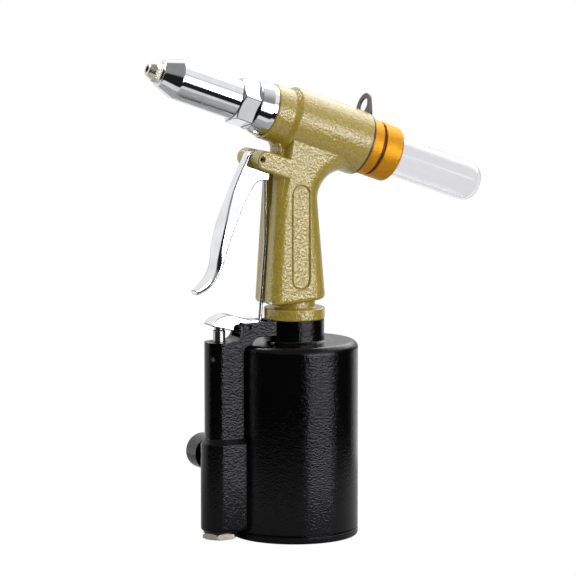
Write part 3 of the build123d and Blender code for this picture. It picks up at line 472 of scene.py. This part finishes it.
# the two orange rings: outline (station, radius and rounding), and its knurled band, mm
orangeRings = {
    "end_cap_knurled": {
        "node": "end_cap", "body": "tool_body", "band": (-60.1, -53.6),
        "outline": [(-70.7, 11.0), (-70.7, 15.0), (-60.6, 15.0), (-60.6, 19.3, 0.6),
                    (-53.3, 19.3, 0.5), (-52.1, 18.1), (-52.1, 17.35), (-47.6, 17.35),
                    (-47.6, 15.4), (-45.1, 15.4), (-45.1, 17.35), (-41.7, 17.35),
                    (-41.7, 6.56), (-58.6, 6.56), (-58.6, 11.0)],
    },
    "collector_collar_knurled": {
        "node": "collector_collar", "body": "collector", "band": (-74.6, -63.2),
        "outline": [(-76.7, 13.55), (-76.7, 19.3, 2.2), (-62.7, 19.3, 0.6), (-62.7, 15.06),
                    (-73.2, 15.06), (-73.2, 13.55)],
    },
}
knurl = {                         # mm
    "teeth": 104,
    "depth": 0.15,
    "columns": 624,
    "row": 0.24,                  # longest step on the band
    "plainRow": 4.0,              # and off it
    "beyond": 1.0,                # short steps go on past the band's ends
    "fade": 0.4,                  # width over which the teeth rise from its ends
    "level": 0.01,                # what lies this near to the largest radius is its top
}


# knurl: two families of crossing V grooves; the surface follows the lower of the two waves
def knurledRing(name, ring):
    outline = dividedOutline(roundedOutline(ring["outline"]), knurl["plainRow"])
    low, high = ring["band"]
    top = max(outline[:, 1])
    place = outline[:, 0]
    onBand = (place > low - knurl["beyond"]) & (place < high + knurl["beyond"])
    onBand &= outline[:, 1] > top - knurl["level"]
    longest = np.where(onBand & np.roll(onBand, -1), knurl["row"], knurl["plainRow"])
    station, radius, turn = turnedGrid(dividedOutline(outline, longest), knurl["columns"])
    pitch = 2 * np.pi * top / knurl["teeth"]
    across, along = turn * knurl["teeth"] / (2 * np.pi), station / pitch
    waves = [np.abs((across + sign * along) % 1.0 - 0.5) * 2 for sign in (1, -1)]
    fade = knurl["fade"]
    inside = np.clip((station - low) / fade, 0, 1) * np.clip((high - station) / fade, 0, 1)
    onTop = np.abs(radius - top) < knurl["level"]
    radius = radius - knurl["depth"] * inside * onTop * (1 - np.minimum(*waves))
    piece = gridMesh(name, turnedPoints(station, radius, turn))
    finishPiece(piece, "orange_anodised", ring["body"], ring["node"])


for name, ring in orangeRings.items():
    knurledRing(name, ring)

# the collector's clear bottle: outline of its wall, mm
bottle = {
    "outline": [(-146.7, 0.0), (-146.7, 13.5, 9.0), (-73.2, 13.5), (-73.2, 14.7, 0.3),
                (-71.2, 14.7, 0.3), (-71.2, 11.9, 0.3), (-145.1, 11.9, 7.4), (-145.1, 0.0)],
    "columns": 160,
    "arcSteps": 24,
    "row": 3.0,                   # longest step along it
}


# the wall's outline, turned round the axis from the outer pole to the inner one
def bottleShell(bottle):
    outline = dividedOutline(roundedOutline(bottle["outline"], bottle["arcSteps"]), bottle["row"])
    points = turnedPoints(*turnedGrid(outline, bottle["columns"]))
    piece = gridMesh("collector_bottle_clear", points, loop=False)
    finishPiece(piece, "clear_plastic", "collector", "collector_bottle")


bottleShell(bottle)
print("turned pieces: rings and bottle")

# the chromed trigger, a pressed channel. Its front and back line in the side view run down
# from the head in matching legs; a leg's runs are arcs through three points or lines, in mm
# ahead of the pivot and above it
pressedTrigger = {
    "pivot": (-31.5, 258.36),
    "front": [[((0.6, 4.3), (3.9, 3.2), (5.6, 0.0))],
              [((5.6, 0.0), (9.21, -7.0), (12.75, -14.5))],
              [((12.75, -14.5), (20.89, -35.38), (29.17, -68.48))],
              [((29.17, -68.48), (33.46, -80.07), (42.9, -87.8))]],
    "back": [[((-0.6, 4.3), (-1.9, 3.5), (-2.84, 2.21)), ((-2.84, 2.21), (-11.92, -11.59))],
             [((-11.92, -11.59), (-12.2, -13.9), (-10.1, -15.3)), ((-10.1, -15.3), (-4.4, -15.3)),
              ((-4.4, -15.3), (-1.9, -16.0), (-0.13, -17.66))],
             [((-0.13, -17.66), (13.9, -40.39), (25.01, -69.89))],
             [((25.01, -69.89), (30.89, -80.42), (42.03, -90.4))]],
    "rows": (14, 26, 44, 26),     # in each leg
    "half": (4.43, 8.73),         # half its width between the ears and at the fingers
    "widening": (-19.0, -50.0),   # heights between which it widens
    "bottom": -90.9,              # of its round end
    "wall": 1.6,
    "crown": 0.2,                 # rise of the front face's middle
    "corner": [(4.3, 0.9), (-40.0, 1.3), (-60.0, 1.8),           # height and rounding there
               (-76.0, 6.0), (-84.0, 5.0), (-88.0, 3.0)],
    "deepest": 0.9,               # share of the depth that a rounding may take
    "aside": (1.4, 0.6),          # its width against its depth, and the share of the half width
    "solid": (4, 8),              # rows without a hollow at the head and at the tip
    "opening": 6,                 # rows over which the hollow opens
    "points": (12, 12, 13, 6),    # across a flank, a corner, the face and a wall of the hollow
}


# circle through three points, divided evenly from the first to the last
def arcThrough(first, middle, last, count=40):
    first, middle, last = [np.array(point, float) for point in (first, middle, last)]
    chords = 2 * np.array([middle - first, last - first])
    squares = [middle @ middle - first @ first, last @ last - first @ first]
    centre = np.linalg.solve(chords, squares)
    angles = np.unwrap([math.atan2(*(point - centre)[::-1]) for point in (first, middle, last)])
    turn = np.linspace(angles[0], angles[2], count)
    return centre + np.linalg.norm(first - centre) * np.column_stack([np.cos(turn), np.sin(turn)])


# points of a line of arcs and straights, spaced evenly in each leg
def legPoints(legs, rows):
    line = []
    for leg, count in zip(legs, rows):
        points = np.concatenate([arcThrough(*run) if len(run) == 3 else np.array(run)
                                 for run in leg])
        steps = np.linalg.norm(np.diff(points, axis=0), axis=1)
        length = np.concatenate([[0], np.cumsum(steps)])
        where = np.linspace(0, length[-1], count + 1)[1 if line else 0:]
        line.append(np.column_stack([np.interp(where, length, points[:, i]) for i in (0, 1)]))
    return np.concatenate(line)


# half width at a height: an S from the narrow to the wide part, and a half circle at the end
def triggerHalf(height, trigger):
    narrow, wide = trigger["half"]
    high, low = trigger["widening"]
    share = np.clip((height - high) / (low - high), 0, 1)
    half = narrow + (wide - narrow) * share * share * (3 - 2 * share)
    rise = np.clip(height - trigger["bottom"], 0, wide)
    return np.minimum(half, np.sqrt(rise * (2 * wide - rise)))


# channel: each row runs round a section between the front line and the back line, a U with
# elliptic front corners and a crowned face; the hollow closes towards the head and the tip
def triggerChannel(trigger):
    front = legPoints(trigger["front"], trigger["rows"])
    back = legPoints(trigger["back"], trigger["rows"])
    depth = np.linalg.norm(back - front, axis=1)[:, None]
    inward = (back - front) / depth
    heights, roundings = np.array(trigger["corner"])[::-1].T
    rounding = np.interp(front[:, 1], heights, roundings)[:, None]
    deep = np.minimum(rounding, trigger["deepest"] * depth)
    wider, most = trigger["aside"]
    aside = np.minimum(wider * rounding, most * triggerHalf(front[:, 1:2], trigger))

    # 1 where the section is solid, 0 where the hollow is down to the wall
    row = np.arange(len(front))[:, None]
    head, tip = trigger["solid"]
    opened = np.minimum(row - head, len(front) - 1 - tip - row) / trigger["opening"]
    solid = np.clip(1 - opened, 0, 1)
    floor = np.minimum(trigger["wall"] + (depth - trigger["wall"]) * solid, depth)

    # round the section: how far in from the front line, on which side, and how much narrower
    onFlank, onCorner, onFace, onWall = trigger["points"]
    bend = np.linspace(0, np.pi / 2, onCorner)[None, 1:]
    face = np.linspace(-1, 1, onFace)[None, 1:-1]
    flank = deep + (depth - deep) * np.linspace(1, 0, onFlank)[None]
    corner = deep * (1 - np.sin(bend))
    crown = -trigger["crown"] * (1 - face * face) * np.ones_like(depth)
    hollow = depth + (floor - depth) * np.linspace(0, 1, onWall)[None]
    narrowing = aside * (1 - np.cos(bend))
    section = [(flank, -1, 0), (corner, -1, narrowing), (crown, face, aside),
               (corner[:, ::-1], 1, narrowing[:, ::-1]), (flank[:, ::-1], 1, 0),
               (hollow, 1, trigger["wall"]), (hollow[:, ::-1], -1, trigger["wall"])]
    sheets = []
    for distance, side, less in section:
        ahead = front[:, :1] + inward[:, :1] * distance
        above = front[:, 1:] + inward[:, 1:] * distance
        across = side * np.maximum(triggerHalf(above, trigger) - less, 0.0)
        sheets.append(np.stack([trigger["pivot"][0] - ahead, across,
                                trigger["pivot"][1] + above], axis=-1))
    points = np.concatenate(sheets, axis=1)
    ends = [np.broadcast_to(points[i].mean(axis=0), points[i].shape)[None] for i in (0, -1)]
    points = np.concatenate([ends[0], points, ends[1]])
    piece = gridMesh("trigger_pressed", points / 1000, loop=False)
    finishPiece(piece, "chrome", "trigger", "trigger")


triggerChannel(pressedTrigger)
print("pressed pieces: trigger")


# studio: a white table in a white room that gloss sees dark behind the camera
studio = {
    "table": {"radius": 0.30, "height": -0.0002, "corners": 96, "grey": 0.5, "roughness": 0.8},
    "ambient": (0.24, 0.62),      # light from below and from above for what isn't mirrored
    "ambientRise": (-0.6, 0.6),
    "dark": 0.015,                # room behind the camera
}
# what gloss mirrors beside the lamps: soft ranges of a direction's parts across, along and up
mirrored = {
    "backWall": (0.1, 0.5),       # along
    "bandLow": (-0.14, -0.08),    # up: dark band on the back wall
    "bandHigh": (0.04, 0.12),
    "bandLean": (-0.1, 0.3),      # across: its upper edge climbs
    "bandClimb": 0.05,
    "bandLeft": (-0.3, 0.1),      # across
    "bandShade": 0.65,
    "ceiling": (0.3, 0.5),        # up
    "ceilingRight": (0.3, 0.55),  # across: its bright part
    "ceilingLeft": 0.3,           # light of the other part
    "floor": ((0.50, 0.56), (0.80, 0.90)),             # down
    "floorLight": 0.8,
    "rowAcross": ((-0.03, 0.03), (0.72, 0.80)),        # far row of lights low in front
    "rowUp": ((-0.15, -0.13), (0.15, 0.25)),
    "rowFront": (0.2, 0.4),       # against along
    "rowMiddle": 0.425,
    "rowCount": 52.0,
    "rowEdge": (-0.3, 0.3),
    "rowLight": 9.0,
    "spot": (-0.37, 0.54, 0.76),  # direction of a small far light up to the left behind
    "spotEdge": (0.955, 0.985),
    "spotLight": 12.0,
}
# size, radiance, middle and the point that each faces, in metres
lamps = {
    "panel": {"size": (1.10, 0.67), "light": 1.25,
              "place": (0.45, -0.95, 0.465), "aim": (0.45, 0.0, 0.465)},
    "ceiling": {"size": (1.1, 0.9), "light": 2.3,
                "place": (0.75, 0.45, 0.90), "aim": (0.0, 0.0, 0.2)},
}


def areaLamp(name, lamp):
    data = bpy.data.lights.new(name, "AREA")
    data.shape = "RECTANGLE"
    data.size, data.size_y = lamp["size"]
    data.energy = math.pi * data.size * data.size_y * lamp["light"]    # W for that radiance
    thing = bpy.data.objects.new(name, data)
    thing.location = lamp["place"]
    facing = Vector(lamp["aim"]) - thing.location
    thing.rotation_euler = facing.to_track_quat("-Z", "Y").to_euler()
    bpy.context.scene.collection.objects.link(thing)


# disc: one face through points at equal angles; white for the camera, and grey with the
# object's shadow for all other rays
def whiteTable(disc):
    angles = np.linspace(0, 2 * np.pi, disc["corners"], endpoint=False)
    points = np.column_stack([disc["radius"] * np.cos(angles), disc["radius"] * np.sin(angles),
                              np.full(disc["corners"], disc["height"])])
    mesh = bpy.data.meshes.new("table")
    mesh.from_pydata(points.tolist(), [], [list(range(disc["corners"]))])
    table = bpy.data.objects.new("table", mesh)
    bpy.context.scene.collection.objects.link(table)
    material = bpy.data.materials.new("table_white")
    material.use_nodes = True
    tree = material.node_tree
    shader = tree.nodes["Principled BSDF"]
    setSockets(shader, {"Base Color": rgba([disc["grey"]] * 3), "Roughness": disc["roughness"]})
    glow = tree.nodes.new("ShaderNodeEmission")
    rays = Socket(tree, tree.nodes.new("ShaderNodeLightPath").outputs["Is Camera Ray"])
    mixed = rays.node("ShaderNodeMixShader", {}, {0: rays, 1: Socket(tree, shader.outputs[0]),
                                                  2: Socket(tree, glow.outputs[0])})
    tree.links.new(mixed.out, tree.nodes["Material Output"].inputs["Surface"])
    mesh.materials.append(material)


# white for the camera and behind the object, dark round the camera, and even for diffuse light
def studioWorld(studio, mirrored):
    world = bpy.data.worlds.new("studio")
    world.use_nodes = True
    bpy.context.scene.world = world
    tree = world.node_tree
    coords = Socket(tree, tree.nodes.new("ShaderNodeTexCoord").outputs["Generated"])
    parts = coords.node("ShaderNodeSeparateXYZ", {}, {0: coords})
    across, along, up = [Socket(tree, parts.out.node.outputs[i]) for i in range(3)]
    path = tree.nodes.new("ShaderNodeLightPath")
    camera, glossy, clear = [Socket(tree, path.outputs[kind]) for kind in
                             ("Is Camera Ray", "Is Glossy Ray", "Is Transmission Ray")]

    bandTop = up - mirrored["bandClimb"] * across.step(*mirrored["bandLean"])
    darkBand = up.step(*mirrored["bandLow"]) * (1.0 - bandTop.step(*mirrored["bandHigh"]))
    darkBand = darkBand * across.step(*mirrored["bandLeft"])
    backWall = along.step(*mirrored["backWall"]) * (1.0 - mirrored["bandShade"] * darkBand)
    left = mirrored["ceilingLeft"]
    ceiling = left + (1.0 - left) * across.step(*mirrored["ceilingRight"])
    ceiling = up.step(*mirrored["ceiling"]) * ceiling
    floor = mirrored["floorLight"] * (-up).band(*mirrored["floor"])
    lights = (mirrored["rowCount"] * (across - mirrored["rowMiddle"])).cosine()
    lights = lights.step(*mirrored["rowEdge"]) * across.band(*mirrored["rowAcross"])
    lights = lights * (-along).step(*mirrored["rowFront"]) * up.band(*mirrored["rowUp"])
    right, behind, above = mirrored["spot"]
    spot = (above * up + behind * along + right * across).step(*mirrored["spotEdge"])
    mirror = backWall.largest(ceiling).largest(floor)
    mirror = mirror + mirrored["rowLight"] * lights + mirrored["spotLight"] * spot

    low, high = studio["ambient"]
    even = low + (high - low) * up.step(*studio["ambientRise"])
    level = even + glossy * (studio["dark"] + mirror - even)
    level = level + camera.largest(clear) * (1.0 - level)
    setSockets(tree.nodes["Background"], {"Color": (1, 1, 1, 1), "Strength": level})


placeCamera(view)
for name, lamp in lamps.items():
    areaLamp(name, lamp)
whiteTable(studio["table"])
studioWorld(studio, mirrored)
bpy.context.scene.view_settings.view_transform = "Standard"
print("studio ready")
